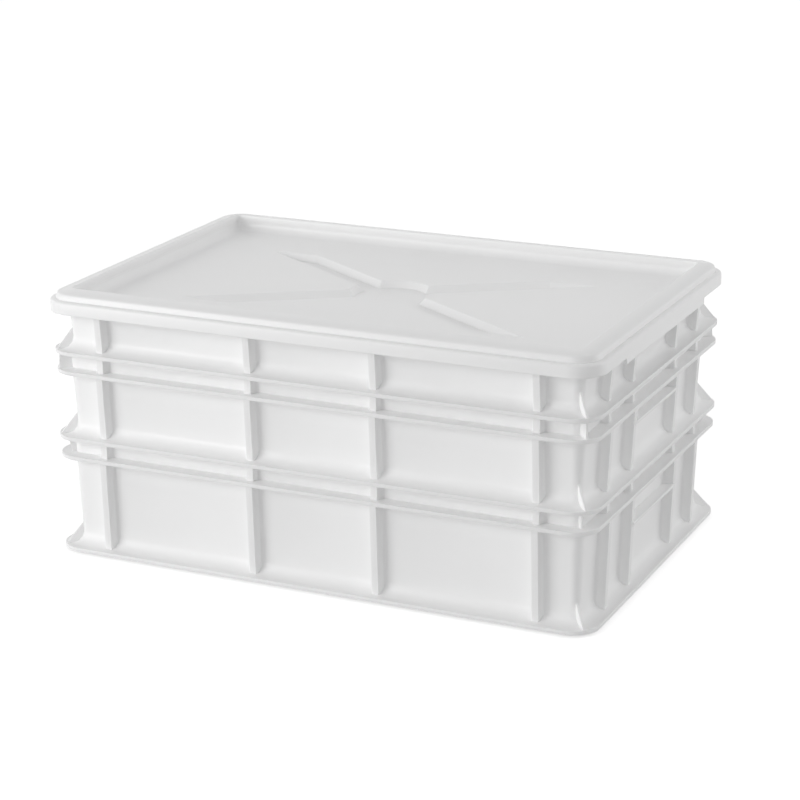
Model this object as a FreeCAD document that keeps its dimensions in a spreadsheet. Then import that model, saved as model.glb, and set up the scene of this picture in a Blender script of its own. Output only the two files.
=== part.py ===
import FreeCAD, Part
import math
import os

import Sketcher

# Stack of three dough proofing boxes with a loose lid, moulded in polyethylene.
# Millimetres, +Z up, origin on the table under the middle of the bottom box.
# Lengths called an inset run inwards from the edge of the base flange.
DIMENSIONS = [
    ("crate_length", 600, "length over the base flange"),
    ("crate_width", 400, "width over the base flange"),
    ("corner_radius", 28, "corner of the base flange, seen from above"),
    ("bottom_pitch", 122, "bottom box, base flange underside to rim"),
    ("middle_pitch", 92, "middle box, base flange underside to rim"),
    ("top_pitch", 62, "top box, base flange underside to rim"),
    ("flange_thick", 4, "base flange and upper flange"),
    ("upper_flange_inset", 1, "upper flange against the base flange"),
    ("band_height", 21, "upper flange underside to rim"),
    ("lidded_band", 16, "the same on the top box, inside the lid's skirt"),
    ("wall_thick", 3, "wall and floor"),
    ("foot_inset", 20, "outside of the wall at its foot"),
    ("rim_inset", 16, "outside of the wall at the rim"),
    ("plug_inset", 20.5, "foot plug that drops into the rim below"),
    ("plug_depth", 3, "foot plug below the base flange"),
    ("cove_radius", 12, "round between the base flange and the wall"),
    ("weld", 1.5, "how far one feature reaches into the next"),
    ("rib_width", 11, "ribs, across the root"),
    ("rib_taper", 2, "how far each side of a rib leans in, root to crest"),
    ("rib_depth", 11, "upright ribs, out from the wall"),
    ("rib_root", 3, "round at the root of a rib"),
    ("band_rib_depth", 8, "short ribs on the rim band"),
    ("band_rib_drop", 1.2, "short ribs stop this far below the rim"),
    ("long_rib_near", 69, "inner ribs of a long side, from the middle"),
    ("long_rib_far", 240, "outer ribs of a long side"),
    ("short_rib_near", 64, "inner ribs of a short side"),
    ("short_rib_far", 132, "outer ribs of a short side"),
    ("gusset_thick", 2, "diagonal corner gussets"),
    ("gusset_rise", 21, "corner gusset above the base flange"),
    ("gusset_reach", 1.2, "gusset toe short of the flange corner"),
    ("gusset_toe", 0.8, "height of the gusset toe above the flange"),
    ("horn_low", 4, "rim gusset of the bottom box, out at its foot"),
    ("horn_high", 8, "the same at the rim"),
    ("plate_low", 14, "rim gusset of the middle box, out at its foot"),
    ("plate_high", 13, "the same at the rim"),
    ("ledge_thick", 3, "grip ledge on the short sides"),
    ("ledge_proud", 1, "grip ledge out past the rib crests"),
    ("bottom_ledge_drop", 33, "ledge underside below the upper flange, bottom box"),
    ("middle_ledge_drop", 19, "the same on the middle box"),
    ("skirt_reach", 3, "lid skirt out past the base flange"),
    ("skirt_clear", 0.3, "inside of the skirt out past the base flange"),
    ("skirt_drop", 17.5, "lid skirt below the rim"),
    ("shoulder_drop", 4.5, "lid shoulder below the rim"),
    ("shoulder_round", 2.5, "edge of the shoulder"),
    ("shoulder_inset", 3.2, "where the shoulder meets the upright band"),
    ("crest_rise", 5, "lid crest above the rim"),
    ("crest_round", 2, "both edges of the crest"),
    ("crest_draft", 1, "lean of the lid's upright band"),
    ("channel_wall", 3, "thickness of the lid's folds"),
    ("channel_inset", 20, "lid's inner wall, on the side of the rim"),
    ("well_inset", 22.5, "lid's inner wall, on the side of the panel"),
    ("well_depth", 18.5, "lid panel below the crest"),
    ("dish_round", 9, "hollow between the inner wall and the panel"),
    ("dish_step", 0.2, "where the hollow starts inside the inner wall"),
    ("groove_width", 30, "arms of the pressed cross"),
    ("groove_depth", 7, "pressed cross below the panel"),
    ("groove_slope", 6, "run of the cross's sloping sides"),
    ("groove_end", 105, "arms are cut across here, from the middle line"),
    ("hub_radius", 45, "round hub of the cross"),
    ("tab_length", 238, "grip tabs on the skirt's short sides"),
    ("tab_drop", 6, "grip tabs below the skirt"),
]

# Ends of a line or arc in a sketch, and the sketch's own origin
START = 1
END = 2
SKETCH_ORIGIN = (-1, 1)
# Flats that stand for a quarter round
WIDE_FLATS = 3
SMALL_FLATS = 2

doc = FreeCAD.newDocument("dough_proofing_container")
sheet = doc.addObject("Spreadsheet::Sheet", "Sizes")
for row, (alias, number, meaning) in enumerate(DIMENSIONS, start=1):
    sheet.set("A%d" % row, meaning)
    sheet.set("B%d" % row, str(number))
    sheet.setAlias("B%d" % row, alias)
doc.recompute()


class Size:
    """A length with the sheet formula that it comes from."""

    def __init__(self, value, text):
        self.value = value
        self.text = text

    def join(self, other, sign, value):
        return Size(value, "(%s %s %s)" % (self.text, sign, other.text))

    def __add__(self, other):
        other = as_size(other)
        return self.join(other, "+", self.value + other.value)

    def __sub__(self, other):
        other = as_size(other)
        return self.join(other, "-", self.value - other.value)

    def __mul__(self, other):
        other = as_size(other)
        return self.join(other, "*", self.value * other.value)

    def __truediv__(self, other):
        other = as_size(other)
        return self.join(other, "/", self.value / other.value)

    def __neg__(self):
        return Size(-self.value, "(0 - %s)" % self.text)

    def root(self):
        return Size(math.sqrt(self.value), "sqrt(%s)" % self.text)


def as_size(number):
    return number if isinstance(number, Size) else Size(number, str(number))


def size(alias):
    return Size(float(sheet.get(alias)), "Sizes." + alias)


HALF_LENGTH = size("crate_length") / 2
HALF_WIDTH = size("crate_width") / 2
WELD = size("weld")


def arc_between(start, end, radius):
    """Arc of less than half a circle, turning left from start to end."""
    chord = end - start
    middle = (start + end) * 0.5
    left = FreeCAD.Vector(-chord.y, chord.x, 0).normalize()
    centre = middle + left * math.sqrt(radius ** 2 - (chord.Length / 2) ** 2)
    begin = math.atan2(start.y - centre.y, start.x - centre.x)
    finish = math.atan2(end.y - centre.y, end.x - centre.x)
    circle = Part.Circle(centre, FreeCAD.Vector(0, 0, 1), radius)
    return Part.ArcOfCircle(circle, begin, finish)


def bind(sketch, kind, places, length):
    """Dimension a sketch and tie the dimension to the sheet."""
    index = sketch.addConstraint(Sketcher.Constraint(kind, *places, length.value))
    sketch.setExpression("Constraints[%d]" % index, length.text)


def draw(sketch, loop):
    """Closed outline. A corner is (u, v), or (u, v, radius) if an arc runs up to it."""
    corners = [(as_size(corner[0]), as_size(corner[1])) for corner in loop]
    points = [FreeCAD.Vector(u.value, v.value, 0) for u, v in corners]
    count = len(loop)
    first = sketch.GeometryCount
    for index in range(count):
        following = (index + 1) % count
        bend = loop[following][2:]
        if bend:
            sketch.addGeometry(arc_between(points[index], points[following], bend[0].value))
            bind(sketch, "Radius", (first + index,), bend[0])
        else:
            sketch.addGeometry(Part.LineSegment(points[index], points[following]))
    for index, (u, v) in enumerate(corners):
        here = first + index
        before = first + (index - 1) % count
        sketch.addConstraint(Sketcher.Constraint("Coincident", before, END, here, START))
        bind(sketch, "DistanceX", (*SKETCH_ORIGIN, here, START), u)
        bind(sketch, "DistanceY", (*SKETCH_ORIGIN, here, START), v)


def round_off(start, corner, end, flats):
    """Points between start and end of the quarter round that takes off a corner."""
    points = []
    for step in range(1, flats):
        angle = math.pi / 2 * step / flats
        from_start = 1 - math.sin(angle)
        from_end = 1 - math.cos(angle)
        points.append(tuple(
            here + (before - here) * from_start + (after - here) * from_end
            for before, here, after in zip(start, corner, end)
        ))
    return points


def origin_feature(body, role):
    return next(item for item in body.Origin.OriginFeatures if item.Role == role)


def sketch_on(body, role, name, loops, offset=None):
    """Sketch on one of the body's own planes, moved along the plane's normal."""
    sketch = body.newObject("Sketcher::SketchObject", name)
    sketch.AttachmentSupport = [(origin_feature(body, role), "")]
    sketch.MapMode = "FlatFace"
    if offset is not None:
        sketch.setExpression("AttachmentOffset.Base.z", as_size(offset).text)
    for loop in loops:
        draw(sketch, loop)
    return sketch


def pad(body, sketch, length, symmetric=False):
    feature = body.newObject("PartDesign::Pad", sketch.Name + "_pad")
    feature.Profile = sketch
    feature.setExpression("Length", length.text)
    if symmetric:
        feature.SideType = "Symmetric"
    return feature


def mirror_round(body, name, features, planes):
    """Repeat features across the middle planes of the body."""
    copies = body.newObject("PartDesign::MultiTransform", name)
    steps = []
    for plane in planes:
        step = body.newObject("PartDesign::Mirrored", "%s_across_%s" % (name, plane[:2]))
        step.MirrorPlane = (origin_feature(body, plane), [""])
        steps.append(step)
    copies.Originals = features
    copies.Transformations = steps
    body.Tip = copies


def rounded_rectangle(inset, corner_inset=None):
    """Outline at an inset, its corners as round as those of the outline at corner_inset."""
    x = HALF_LENGTH - inset
    y = HALF_WIDTH - inset
    radius = size("corner_radius") - (inset if corner_inset is None else corner_inset)
    x_flat = x - radius
    y_flat = y - radius
    return [
        (x, 0),
        (x, y_flat),
        (x_flat, y, radius),
        (-x_flat, y),
        (-x, y_flat, radius),
        (-x, -y_flat),
        (-x_flat, -y, radius),
        (x_flat, -y),
        (x, -y_flat, radius),
    ]


def sweep_round(body, name, section, path_inset):
    """Carry a wall section, drawn as inset and height, round the rounded rectangle."""
    path = sketch_on(body, "XY_Plane", name + "_path", [rounded_rectangle(path_inset)])
    corners = [(HALF_LENGTH - corner[0],) + tuple(corner[1:]) for corner in section]
    profile = sketch_on(body, "XZ_Plane", name + "_section", [corners])
    ring = body.newObject("PartDesign::AdditivePipe", name + "_sweep")
    ring.Profile = profile
    edges = ["Edge%d" % (index + 1) for index in range(path.GeometryCount)]
    ring.Spine = (path, edges)
    return ring


def rib_outline(place, face, depth, long_side):
    """Rib seen from above at a place along a wall, with a rounded root and leaning sides."""
    half = size("rib_width") / 2
    root = size("rib_root")
    level = as_size(0)
    root_start = (half + root, level)
    root_end = (half, root)
    bend = round_off(root_start, (half, level), root_end, SMALL_FLATS)
    # The first flat of the root runs straight on into the wall
    first_along, first_out = bend[0]
    run_on = (root_start[0] - first_along) / first_out
    side = [
        (root_start[0] + run_on * WELD, -WELD),
        *bend,
        root_end,
        (half - size("rib_taper"), depth),
    ]
    loop = [(place + along, face + out) for along, out in side]
    loop += [(place - along, face + out) for along, out in reversed(side)]
    return loop if long_side else [(out, along) for along, out in loop]


def wall_section(pitch, band):
    """Section of a box wall with its flanges, rim, foot cove and foot plug."""
    thick = size("wall_thick")
    flange = size("flange_thick")
    upper = size("upper_flange_inset")
    foot = size("foot_inset")
    rim = size("rim_inset")
    cove = size("cove_radius")
    plug = size("plug_inset")
    edge = as_size(0)
    shelf = pitch - band
    lean = (foot - rim) / shelf
    cove_top = flange + cove
    wall_at_cove = foot - lean * cove_top
    cove_start = (wall_at_cove - cove, flange)
    cove_end = (wall_at_cove, cove_top)
    return [
        (plug, 0),
        (edge, 0),
        (edge, flange),
        cove_start,
        *round_off(cove_start, (wall_at_cove, flange), cove_end, WIDE_FLATS),
        cove_end,
        (rim, shelf),
        (upper, shelf),
        (upper, shelf + flange),
        (rim, shelf + flange),
        (rim, pitch),
        (rim + thick, pitch),
        (rim + thick, shelf),
        (foot + thick, 0),
        (foot + thick, -WELD),
        (plug, -WELD),
    ]


def make_box(name, pitch, band, ledge_drop, horn, stand):
    """One box. Its own zero height is the underside of the base flange."""
    body = doc.addObject("PartDesign::Body", name)
    flange = size("flange_thick")
    foot = size("foot_inset")
    rim = size("rim_inset")
    shelf = pitch - band
    lean = (foot - rim) / shelf
    rib_depth = size("rib_depth")

    floor = sketch_on(body, "XY_Plane", name + "_floor", [rounded_rectangle(size("plug_inset"))],
                      -size("plug_depth"))
    pad(body, floor, size("wall_thick"))
    sweep_round(body, name + "_wall", wall_section(pitch, band), foot)

    long_places = [size("long_rib_near"), size("long_rib_far")]
    short_places = [size("short_rib_near"), size("short_rib_far")]
    quarter = []

    # Upright ribs of one quarter, from inside the base flange to inside the upper one,
    # leaning out with the wall
    rib_foot = flange - WELD
    foot_face = foot - lean * rib_foot
    rib_rise = shelf + WELD - rib_foot
    for side, places, half, long_side in (
        ("long", long_places, HALF_WIDTH, True),
        ("short", short_places, HALF_LENGTH, False),
    ):
        loops = [rib_outline(place, half - foot_face, rib_depth, long_side) for place in places]
        ribs = sketch_on(body, "XY_Plane", "%s_%s_ribs" % (name, side), loops, rib_foot)
        feature = pad(body, ribs, rib_rise)
        feature.UseCustomVector = True
        feature.AlongSketchNormal = True
        outwards = lean.value
        feature.Direction = FreeCAD.Vector(0, outwards, 1) if long_side else FreeCAD.Vector(outwards, 0, 1)
        feature.setExpression("Direction.y" if long_side else "Direction.x", lean.text)
        quarter.append(feature)

    # Short ribs on the rim band, in line with the upright ones
    band_depth = size("band_rib_depth")
    loops = [rib_outline(place, HALF_WIDTH - rim, band_depth, True) for place in long_places]
    loops += [rib_outline(place, HALF_LENGTH - rim, band_depth, False) for place in short_places]
    band_ribs = sketch_on(body, "XY_Plane", name + "_band_ribs", loops, shelf + WELD)
    quarter.append(pad(body, band_ribs, band - WELD - size("band_rib_drop")))

    # Diagonal gussets on the corner, drawn outwards from the centre of the corner radius
    corner = size("corner_radius")
    wall_corner = corner - foot
    toe = corner - size("gusset_reach")
    gusset_top = flange + size("gusset_rise")
    loops = [[
        (wall_corner - WELD, flange - WELD),
        (toe, flange - WELD),
        (toe, flange + size("gusset_toe")),
        (wall_corner + lean * gusset_top, gusset_top),
        (wall_corner - WELD, gusset_top),
    ]]
    if horn:
        low, high = horn
        rim_corner = corner - rim
        horn_top = pitch - size("band_rib_drop")
        loops.append([
            (rim_corner - WELD, shelf + WELD),
            (rim_corner + low, shelf + WELD),
            (rim_corner + high, horn_top),
            (rim_corner - WELD, horn_top),
        ])
    gussets = sketch_on(body, "XZ_Plane", name + "_gussets", loops)
    gussets.AttachmentOffset = FreeCAD.Placement(
        FreeCAD.Vector(), FreeCAD.Rotation(FreeCAD.Vector(0, 1, 0), 45))
    gussets.setExpression("AttachmentOffset.Base.x", (HALF_LENGTH - corner).text)
    gussets.setExpression("AttachmentOffset.Base.z", (corner - HALF_WIDTH).text)
    quarter.append(pad(body, gussets, size("gusset_thick"), symmetric=True))
    mirror_round(body, name + "_quarters", quarter, ("YZ_Plane", "XZ_Plane"))

    # Grip ledge between the two inner ribs of each short side
    if ledge_drop:
        under = shelf - ledge_drop
        reach = HALF_LENGTH - foot + lean * under
        crest = reach + rib_depth + size("ledge_proud")
        ledge = sketch_on(body, "XZ_Plane", name + "_ledge", [[
            (reach - WELD, under),
            (crest, under),
            (crest, under + size("ledge_thick")),
            (reach - WELD, under + size("ledge_thick")),
        ]])
        feature = pad(body, ledge, size("short_rib_near") * 2, symmetric=True)
        mirror_round(body, name + "_ledges", [feature], ("YZ_Plane",))

    body.setExpression("Placement.Base.z", stand.text)
    return body


def lid_section():
    """Section of the lid's edge: skirt, shoulder, upright band, crest and inner wall."""
    reach = -size("skirt_reach")
    inside = -size("skirt_clear")
    drop = -size("skirt_drop")
    shoulder = -size("shoulder_drop")
    soft = size("shoulder_round")
    band = size("shoulder_inset")
    band_top = band + size("crest_draft")
    crest = size("crest_rise")
    turn = size("crest_round")
    fold = size("channel_wall")
    channel = size("channel_inset")
    well = size("well_inset")
    wall_foot = crest - size("well_depth") + size("dish_round")
    skirt_top = (reach, shoulder - soft)
    shoulder_start = (reach + soft, shoulder)
    outer_start = (band_top, crest - turn)
    outer_end = (band_top + turn, crest)
    inner_start = (well - turn, crest)
    inner_end = (well, crest - turn)
    return [
        (inside, drop),
        (reach, drop),
        skirt_top,
        *round_off(skirt_top, (reach, shoulder), shoulder_start, SMALL_FLATS),
        shoulder_start,
        (band, shoulder),
        outer_start,
        *round_off(outer_start, (band_top, crest), outer_end, SMALL_FLATS),
        outer_end,
        inner_start,
        *round_off(inner_start, (well, crest), inner_end, SMALL_FLATS),
        inner_end,
        (well, wall_foot),
        (channel, wall_foot),
        (channel, 0),
        (band_top + fold, 0),
        (band + fold, shoulder - fold),
        (inside, shoulder - fold),
    ]


def cross_outline(half_width, hub, end):
    """Cross of two bands along the panel's diagonals, with a round hub and level ends."""
    well = size("well_inset")
    across = HALF_LENGTH - well
    along = HALF_WIDTH - well
    diagonal = (across * across + along * along).root()
    cosine = across / diagonal
    sine = along / diagonal
    start = (hub * hub - half_width * half_width).root()
    lower = [
        (start * cosine + half_width * sine, start * sine - half_width * cosine),
        (((end + half_width * cosine) / sine) * cosine + half_width * sine, end),
    ]
    upper = [
        (((end - half_width * cosine) / sine) * cosine - half_width * sine, end),
        (start * cosine - half_width * sine, start * sine + half_width * cosine),
    ]
    arm = lower + upper
    back = arm[::-1]
    loop = []
    for turn_x, turn_y, corners in ((1, 1, arm), (-1, 1, back), (-1, -1, arm), (1, -1, back)):
        for index, (x, y) in enumerate(corners):
            bend = (hub,) if index == 0 else ()
            loop.append((x * turn_x, y * turn_y) + bend)
    return loop


def press(body, kind, name, outlines, heights):
    """Loft between an outline at the panel and a smaller one below it."""
    sketches = [
        sketch_on(body, "XY_Plane", "%s_%d" % (name, index), [outline], height)
        for index, (outline, height) in enumerate(zip(outlines, heights))
    ]
    feature = body.newObject("PartDesign::" + kind, name)
    feature.Profile = sketches[0]
    feature.Sections = sketches[1:]
    feature.Ruled = True
    return feature


def hollow(body, kind, name, wall, top, foot, panel, corner_inset):
    """Dish below the lid's edge: straight down a wall from top to foot, then round to a panel."""
    reach = size("well_inset") + size("dish_round")
    bend_start = (wall, foot)
    bend_end = (reach, panel)
    places = [top, bend_start, *round_off(bend_start, (wall, panel), bend_end, WIDE_FLATS), bend_end]
    outlines = [rounded_rectangle(inset, corner_inset) for inset, height in places]
    press(body, kind, name, outlines, [height for inset, height in places])


def make_lid(name, stand):
    """The lid. Its own zero height is the rim of the box that it rests on."""
    body = doc.addObject("PartDesign::Body", name)
    panel = size("crest_rise") - size("well_depth")
    fold = size("channel_wall")
    channel = size("channel_inset")
    well = size("well_inset")
    wall_foot = panel + size("dish_round")
    sweep_round(body, name + "_edge", lid_section(), channel)

    # The dish hangs from inside the inner wall, and is hollowed from above
    middle = (channel + well) / 2
    inside = well + size("dish_step")
    hollow(body, "AdditiveLoft", name + "_dish", channel, (middle, wall_foot + WELD), wall_foot,
           panel - fold, channel)
    hollow(body, "SubtractiveLoft", name + "_hollow", inside, (inside, wall_foot + WELD * 2), wall_foot,
           panel, well)

    # The cross is pressed down out of the panel, so it stands below as much as it dips above
    half = size("groove_width") / 2
    hub = size("hub_radius")
    end = size("groove_end")
    slope = size("groove_slope")
    depth = size("groove_depth")
    top = cross_outline(half, hub, end)
    sole = cross_outline(half - slope, hub - slope, end - slope)
    under_top = cross_outline(half + fold, hub + fold, end + fold)
    under_sole = cross_outline(half + fold - slope, hub + fold - slope, end + fold - slope)
    press(body, "AdditiveLoft", name + "_cross_below", [under_top, under_sole],
          [panel - fold, panel - fold - depth])
    press(body, "SubtractiveLoft", name + "_cross_above", [top, sole], [panel, panel - depth])

    # Grip tabs under the skirt's short sides
    inner = HALF_LENGTH + size("skirt_clear")
    outer = HALF_LENGTH + size("skirt_reach")
    half_tab = size("tab_length") / 2
    loops = [
        [(inner, -half_tab), (outer, -half_tab), (outer, half_tab), (inner, half_tab)],
        [(-outer, -half_tab), (-inner, -half_tab), (-inner, half_tab), (-outer, half_tab)],
    ]
    tabs = sketch_on(body, "XY_Plane", name + "_tabs", loops, -size("skirt_drop") - size("tab_drop"))
    pad(body, tabs, size("tab_drop") + WELD)
    body.setExpression("Placement.Base.z", stand.text)
    return body


bottom_stand = size("plug_depth")
middle_stand = bottom_stand + size("bottom_pitch")
top_stand = middle_stand + size("middle_pitch")
lid_stand = top_stand + size("top_pitch")
bodies = [
    make_box("bottom_box", size("bottom_pitch"), size("band_height"), size("bottom_ledge_drop"),
             (size("horn_low"), size("horn_high")), bottom_stand),
    make_box("middle_box", size("middle_pitch"), size("band_height"), size("middle_ledge_drop"),
             (size("plate_low"), size("plate_high")), middle_stand),
    make_box("top_box", size("top_pitch"), size("lidded_band"), None, None, top_stand),
    make_lid("lid", lid_stand),
]
doc.recompute()

faults = [item.Name for item in doc.Objects if "Invalid" in item.State or "Error" in item.State]
faults += [body.Name for body in bodies if body.Shape.isNull() or not body.Shape.isValid()]
if faults:
    raise RuntimeError("not built: " + ", ".join(faults))

os.makedirs("parts", exist_ok=True)
for body in bodies:
    body.Shape.exportStep("parts/%s.step" % body.Label)
    box = body.Shape.BoundBox
    print(body.Label, len(body.Shape.Solids), "solid", round(body.Shape.Volume / 1000, 1), "cm3",
          [round(edge, 2) for edge in (box.XLength, box.YLength, box.ZMin, box.ZMax)])
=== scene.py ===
import math

import bmesh
import bpy
from mathutils import Matrix, Vector


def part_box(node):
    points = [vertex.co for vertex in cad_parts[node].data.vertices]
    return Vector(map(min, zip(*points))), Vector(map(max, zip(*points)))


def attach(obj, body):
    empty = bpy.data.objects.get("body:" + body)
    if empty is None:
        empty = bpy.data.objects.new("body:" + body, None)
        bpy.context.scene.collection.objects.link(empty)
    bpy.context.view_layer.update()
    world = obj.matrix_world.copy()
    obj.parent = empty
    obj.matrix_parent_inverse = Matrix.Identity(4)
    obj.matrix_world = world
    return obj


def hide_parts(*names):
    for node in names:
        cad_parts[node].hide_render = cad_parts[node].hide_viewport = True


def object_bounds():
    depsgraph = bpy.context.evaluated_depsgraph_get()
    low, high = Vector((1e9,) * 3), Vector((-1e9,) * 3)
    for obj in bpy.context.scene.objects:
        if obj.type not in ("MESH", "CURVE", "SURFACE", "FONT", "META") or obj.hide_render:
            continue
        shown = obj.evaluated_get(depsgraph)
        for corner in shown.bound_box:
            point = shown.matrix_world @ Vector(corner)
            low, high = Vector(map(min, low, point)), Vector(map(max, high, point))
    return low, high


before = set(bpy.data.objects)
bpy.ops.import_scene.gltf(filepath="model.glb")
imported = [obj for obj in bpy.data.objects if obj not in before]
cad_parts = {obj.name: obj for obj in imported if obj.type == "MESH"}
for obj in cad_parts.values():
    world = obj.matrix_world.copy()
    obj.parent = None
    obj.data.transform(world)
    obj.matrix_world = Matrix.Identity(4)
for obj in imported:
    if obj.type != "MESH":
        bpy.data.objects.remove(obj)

cad_box = [list(corner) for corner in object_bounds()]

# Bottom box: the deepest of the stack, one injection moulding in white polyethylene.
# It stands on its flat floor, and its rim carries the box above. The moulding is the
# CAD node's own, merged into one skin so that its coves and corners shade as curves.


def moulded_skin(node):
    """One closed skin with the node's own shape, its flats sharp and its rounds smooth."""
    smooth_up_to = math.radians(47)
    weld_distance = 0.00002
    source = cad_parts[node].data
    mesh = bpy.data.meshes.new(node + "_skin")
    skin = bmesh.new()
    skin.from_mesh(source)
    bmesh.ops.remove_doubles(skin, verts=skin.verts, dist=weld_distance)
    for face in skin.faces:
        face.smooth = True
    for edge in skin.edges:
        edge.smooth = edge.is_manifold and edge.calc_face_angle(math.pi) < smooth_up_to
    skin.to_mesh(mesh)
    skin.free()
    piece = bpy.data.objects.new(node + "_skin", mesh)
    bpy.context.scene.collection.objects.link(piece)
    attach(piece, node)
    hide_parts(node)
    return piece


def moulding_group():
    """Marks of a moulded polyethylene face: grain and flow, and the masks for painted shade on what
    stands proud and painted light in what is hollow.
    """
    hollow_light_reach = 0.025
    hollow_light_samples = 8
    grain_detail, grain_fineness = 4, 0.6
    flow_scale, flow_detail, flow_curl = 6, 3, 0.6
    group = bpy.data.node_groups.new("moulded_face_and_painted_light", "ShaderNodeTree")
    face = group.interface
    for given in ("Grain scale", "Least rough", "Most rough", "Half length", "Half width", "Stand"):
        face.new_socket(given, in_out="INPUT", socket_type="NodeSocketFloat")
    for made in ("Height", "Dulling", "Shade", "Proud shade", "Hollow light"):
        face.new_socket(made, in_out="OUTPUT", socket_type="NodeSocketFloat")
    nodes = group.nodes
    links = group.links
    inputs = nodes.new("NodeGroupInput")
    outputs = nodes.new("NodeGroupOutput")
    place = nodes.new("ShaderNodeTexCoord")

    def math_node(operation, first, second):
        """Math node on two sockets or numbers."""
        node = nodes.new("ShaderNodeMath")
        node.operation = operation
        for socket, given in zip(node.inputs, (first, second)):
            if isinstance(given, (int, float)):
                socket.default_value = given
            else:
                links.new(given, socket)
        return node.outputs["Value"]

    # Proud: how far a place stands out from the wall, seen from above; the material paints shade
    # there
    axes = nodes.new("ShaderNodeSeparateXYZ")
    links.new(place.outputs["Object"], axes.inputs["Vector"])
    along = math_node("ABSOLUTE", axes.outputs["X"], 0)
    aside = math_node("ABSOLUTE", axes.outputs["Y"], 0)
    past_length = math_node("SUBTRACT", along, inputs.outputs["Half length"])
    past_width = math_node("SUBTRACT", aside, inputs.outputs["Half width"])
    standing = nodes.new("ShaderNodeMapRange")
    links.new(math_node("MAXIMUM", past_length, past_width), standing.inputs["Value"])
    links.new(inputs.outputs["Stand"], standing.inputs["From Max"])
    links.new(standing.outputs["Result"], outputs.inputs["Proud shade"])

    # Hollow: how much of the light around a place its neighbours take; the material paints light
    # there, so hollows look pale
    around = nodes.new("ShaderNodeAmbientOcclusion")
    around.samples = hollow_light_samples
    around.inputs["Distance"].default_value = hollow_light_reach
    links.new(math_node("SUBTRACT", 1, around.outputs["AO"]), outputs.inputs["Hollow light"])

    # Grain and flow: the mould's fine texture, and broad differences in how it dulls
    grain = nodes.new("ShaderNodeTexNoise")
    grain.inputs["Detail"].default_value = grain_detail
    grain.inputs["Roughness"].default_value = grain_fineness
    links.new(place.outputs["Object"], grain.inputs["Vector"])
    links.new(inputs.outputs["Grain scale"], grain.inputs["Scale"])
    links.new(grain.outputs["Fac"], outputs.inputs["Height"])
    flow = nodes.new("ShaderNodeTexNoise")
    flow.inputs["Scale"].default_value = flow_scale
    flow.inputs["Detail"].default_value = flow_detail
    flow.inputs["Distortion"].default_value = flow_curl
    links.new(place.outputs["Object"], flow.inputs["Vector"])
    dull = nodes.new("ShaderNodeMapRange")
    links.new(inputs.outputs["Least rough"], dull.inputs["To Min"])
    links.new(inputs.outputs["Most rough"], dull.inputs["To Max"])
    links.new(flow.outputs["Fac"], dull.inputs["Value"])
    links.new(dull.outputs["Result"], outputs.inputs["Dulling"])
    links.new(flow.outputs["Fac"], outputs.inputs["Shade"])
    return group


moulded_face_and_painted_light = moulding_group()


def polyethylene(name, tones_and_proud_shade, rough, edge_radius, grain_scale, grain_height, proud_shade_wall):
    """Milky white polyethylene. Painted light makes its hollows pale and painted shade makes what
    stands proud grey, in place of the light that it lets through.
    """
    hollow_painted_light = 0.97
    deep_below, pale_above = 0.3, 0.7
    edge_samples = 6
    grain_strength = 0.25
    gloss_index = 1.5
    milkiness = 0.6
    light_depth = 0.002
    deep, pale, proud_shade_grey = tones_and_proud_shade
    material = bpy.data.materials.new(name)
    material.use_nodes = True
    nodes = material.node_tree.nodes
    links = material.node_tree.links
    shader = nodes["Principled BSDF"]
    face = nodes.new("ShaderNodeGroup")
    face.node_tree = moulded_face_and_painted_light
    face.inputs["Grain scale"].default_value = grain_scale
    for socket, number in zip(("Least rough", "Most rough"), rough):
        face.inputs[socket].default_value = number
    for socket, number in zip(("Half length", "Half width", "Stand"), proud_shade_wall):
        face.inputs[socket].default_value = number
    tone = nodes.new("ShaderNodeValToRGB")
    stops = zip(tone.color_ramp.elements, (deep_below, pale_above), (deep, pale))
    for stop, position, grey in stops:
        stop.position = position
        stop.color = (grey, grey, grey, 1)
    links.new(face.outputs["Shade"], tone.inputs["Fac"])
    colour = tone.outputs["Color"]
    # Painted shade greys what stands proud of the wall, and painted light whitens the hollows
    for mask, grey in (("Proud shade", proud_shade_grey), ("Hollow light", hollow_painted_light)):
        blend = nodes.new("ShaderNodeMixRGB")
        blend.inputs["Color2"].default_value = (grey, grey, grey, 1)
        links.new(face.outputs[mask], blend.inputs["Fac"])
        links.new(colour, blend.inputs["Color1"])
        colour = blend.outputs["Color"]
    links.new(colour, shader.inputs["Base Color"])
    links.new(face.outputs["Dulling"], shader.inputs["Roughness"])
    edges = nodes.new("ShaderNodeBevel")
    edges.samples = edge_samples
    edges.inputs["Radius"].default_value = edge_radius
    bump = nodes.new("ShaderNodeBump")
    bump.inputs["Strength"].default_value = grain_strength
    bump.inputs["Distance"].default_value = grain_height
    links.new(face.outputs["Height"], bump.inputs["Height"])
    links.new(edges.outputs["Normal"], bump.inputs["Normal"])
    links.new(bump.outputs["Normal"], shader.inputs["Normal"])
    shader.inputs["IOR"].default_value = gloss_index
    shader.inputs["Subsurface Weight"].default_value = milkiness
    shader.inputs["Subsurface Radius"].default_value = (light_depth, light_depth, light_depth)
    shader.inputs["Subsurface Scale"].default_value = 1
    return material


box_white = polyethylene(
    "box_polyethylene_white", tones_and_proud_shade=(0.875, 0.89, 0.80), rough=(0.36, 0.56), edge_radius=0.0005,
    grain_scale=900, grain_height=0.00006, proud_shade_wall=(0.284, 0.184, 0.016))
bottom_box = moulded_skin("bottom_box")
bottom_box.data.materials.append(box_white)

# Middle box: the same footprint and material, less deep. Its foot plug drops inside the
# bottom box's rim, and its base flange rests on that rim.
middle_box = moulded_skin("middle_box")
middle_box.data.materials.append(box_white)

# Top box: the shallowest box, standing on the middle one in the same way. Its rim and
# upper flange are inside the lid's skirt.
top_box = moulded_skin("top_box")
top_box.data.materials.append(box_white)

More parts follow.
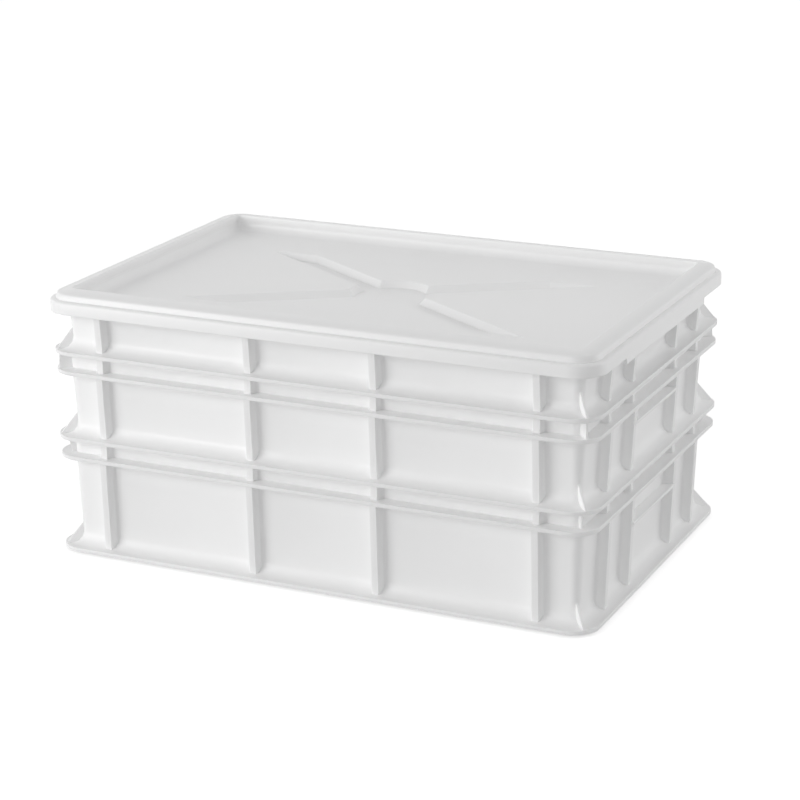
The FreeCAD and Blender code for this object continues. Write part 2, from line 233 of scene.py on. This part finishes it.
# Lid: a loose moulded cover in the same polyethylene, with a smoother face. Its channel
# sits over the top box's rim, and a cross is pressed down out of its panel.
lid_white = polyethylene(
    "lid_polyethylene_white", tones_and_proud_shade=(0.895, 0.91, 0.84), rough=(0.3, 0.42), edge_radius=0.0008,
    grain_scale=500, grain_height=0.00004, proud_shade_wall=(0.2785, 0.1785, 0.012))
lid = moulded_skin("lid")
lid.data.materials.append(lid_white)

# Crest: it falls outwards from a crisp inner ridge, so its outer part goes down a little.
# Ridge and outer part are found by how far they are inside the skirt's outline.
crest_fall = 0.003
crest_round = 0.0025
crest_outer_part = 0.012
crest_ridge = 0.0235
corner_radius = 0.031
near = 0.0002
lid_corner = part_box("lid")[1]
crest = bmesh.new()
crest.from_mesh(lid.data)


def inset_from_skirt(point):
    """How far a point is inside the outline of the lid's skirt, seen from above."""
    past_x = max(abs(point.x) - lid_corner[0] + corner_radius, 0)
    past_y = max(abs(point.y) - lid_corner[1] + corner_radius, 0)
    return corner_radius - math.hypot(past_x, past_y)


ridge = {corner for corner in crest.verts
         if corner.co.z > lid_corner[2] - near
         and abs(inset_from_skirt(corner.co) - crest_ridge) < near}
for edge in crest.edges:
    if ridge.issuperset(edge.verts):
        edge.smooth = False
outer_part = [corner for corner in crest.verts
              if corner.co.z > lid_corner[2] - crest_round
              and inset_from_skirt(corner.co) < crest_outer_part]
bmesh.ops.translate(crest, verts=outer_part, vec=Vector((0, 0, -crest_fall)))
crest.to_mesh(lid.data)
crest.free()

# Floor: a plain pale sheet under the stack, white to the camera and to reflections, which
# still takes the stack's shadow where it stands.
floor_reach = 6
floor_grey = 0.72
floor_roughness = 0.9
floor_lift = 0.55


def any_seen_ray(tree):
    """1 on rays from the camera and on those that it sees by a reflection or through glass."""
    path = tree.nodes.new("ShaderNodeLightPath")
    mirrored = tree.nodes.new("ShaderNodeMath")
    mirrored.operation = "MAXIMUM"
    tree.links.new(path.outputs["Is Glossy Ray"], mirrored.inputs[0])
    tree.links.new(path.outputs["Is Transmission Ray"], mirrored.inputs[1])
    seen = tree.nodes.new("ShaderNodeMath")
    seen.operation = "MAXIMUM"
    tree.links.new(path.outputs["Is Camera Ray"], seen.inputs[0])
    tree.links.new(mirrored.outputs["Value"], seen.inputs[1])
    return seen.outputs["Value"]


floor_mesh = bpy.data.meshes.new("floor")
floor_skin = bmesh.new()
bmesh.ops.create_grid(floor_skin, x_segments=1, y_segments=1, size=floor_reach)
floor_skin.to_mesh(floor_mesh)
floor_skin.free()
floor = bpy.data.objects.new("floor", floor_mesh)
bpy.context.scene.collection.objects.link(floor)
floor_white = bpy.data.materials.new("floor_white")
floor_white.use_nodes = True
floor_nodes = floor_white.node_tree.nodes
floor_links = floor_white.node_tree.links
floor_shader = floor_nodes["Principled BSDF"]
floor_shader.inputs["Base Color"].default_value = (floor_grey, floor_grey, floor_grey, 1)
floor_shader.inputs["Roughness"].default_value = floor_roughness
floor_glow = floor_nodes.new("ShaderNodeEmission")
floor_seen = floor_nodes.new("ShaderNodeMath")
floor_seen.operation = "MULTIPLY"
floor_seen.inputs[1].default_value = floor_lift
floor_links.new(any_seen_ray(floor_white.node_tree), floor_seen.inputs[0])
floor_links.new(floor_seen.outputs["Value"], floor_glow.inputs["Strength"])
floor_sum = floor_nodes.new("ShaderNodeAddShader")
floor_links.new(floor_shader.outputs["BSDF"], floor_sum.inputs[0])
floor_links.new(floor_glow.outputs["Emission"], floor_sum.inputs[1])
floor_links.new(floor_sum.outputs["Shader"], floor_nodes["Material Output"].inputs["Surface"])
floor.data.materials.append(floor_white)

# Studio: a large soft key from the front left, a weaker fill from the back right, and an
# even white room that is also the backdrop.
room_light = 0.58
backdrop_white = 1
key_place, key_width, key_power = (-1.7, -2.1, 0.85), 1.5, 30.5
fill_place, fill_width, fill_power = (2.2, 1.3, 1.0), 1.8, 13
world = bpy.data.worlds.new("studio")
bpy.context.scene.world = world
world.use_nodes = True
world_nodes = world.node_tree.nodes
world_links = world.node_tree.links
room = world_nodes["Background"]
room.inputs["Color"].default_value = (1, 1, 1, 1)
room.inputs["Strength"].default_value = room_light
backdrop = world_nodes.new("ShaderNodeBackground")
backdrop.inputs["Color"].default_value = (1, 1, 1, 1)
backdrop.inputs["Strength"].default_value = backdrop_white
either = world_nodes.new("ShaderNodeMixShader")
world_links.new(any_seen_ray(world.node_tree), either.inputs["Fac"])
world_links.new(room.outputs["Background"], either.inputs[1])
world_links.new(backdrop.outputs["Background"], either.inputs[2])
world_links.new(either.outputs["Shader"], world_nodes["World Output"].inputs["Surface"])

stack_middle = Vector((0, 0, (cad_box[0][2] + cad_box[1][2]) / 2))


def soft_lamp(name, place, width, power):
    """Square area lamp aimed at the middle of the stack."""
    light = bpy.data.lights.new(name, "AREA")
    light.size = width
    light.energy = power
    lamp = bpy.data.objects.new(name, light)
    lamp.location = place
    lamp.rotation_euler = (stack_middle - Vector(place)).to_track_quat("-Z", "Y").to_euler()
    bpy.context.scene.collection.objects.link(lamp)


soft_lamp("key", key_place, key_width, key_power)
soft_lamp("fill", fill_place, fill_width, fill_power)

# Camera: a long lens at the photograph's angle, looking down on the stack from its front
# right. Its aim is moved across and upwards to frame the stack as the photograph does.
lens_mm = 108
sensor_mm = 36
azimuth = math.radians(24.93)
elevation = math.radians(17.72)
roll = math.radians(-0.45)
across = -0.0072
upwards = -0.1365
distance = 2.587
foot_height = 0.003
back = Vector((
    math.sin(azimuth) * math.cos(elevation),
    -math.cos(azimuth) * math.cos(elevation),
    math.sin(elevation),
))
level_right = (-back).cross(Vector((0, 0, 1))).normalized()
level_up = level_right.cross(-back)
right = level_right * math.cos(roll) + level_up * math.sin(roll)
up = level_up * math.cos(roll) - level_right * math.sin(roll)
view = bpy.data.cameras.new("camera")
view.lens = lens_mm
view.sensor_width = sensor_mm
camera = bpy.data.objects.new("camera", view)
camera_place = back * distance - right * across - up * upwards + Vector((0, 0, foot_height))
camera.matrix_world = Matrix((
    (right.x, up.x, back.x, camera_place.x),
    (right.y, up.y, back.y, camera_place.y),
    (right.z, up.z, back.z, camera_place.z),
    (0, 0, 0, 1),
))
bpy.context.scene.collection.objects.link(camera)
bpy.context.scene.camera = camera
bpy.context.scene.view_settings.view_transform = "Standard"
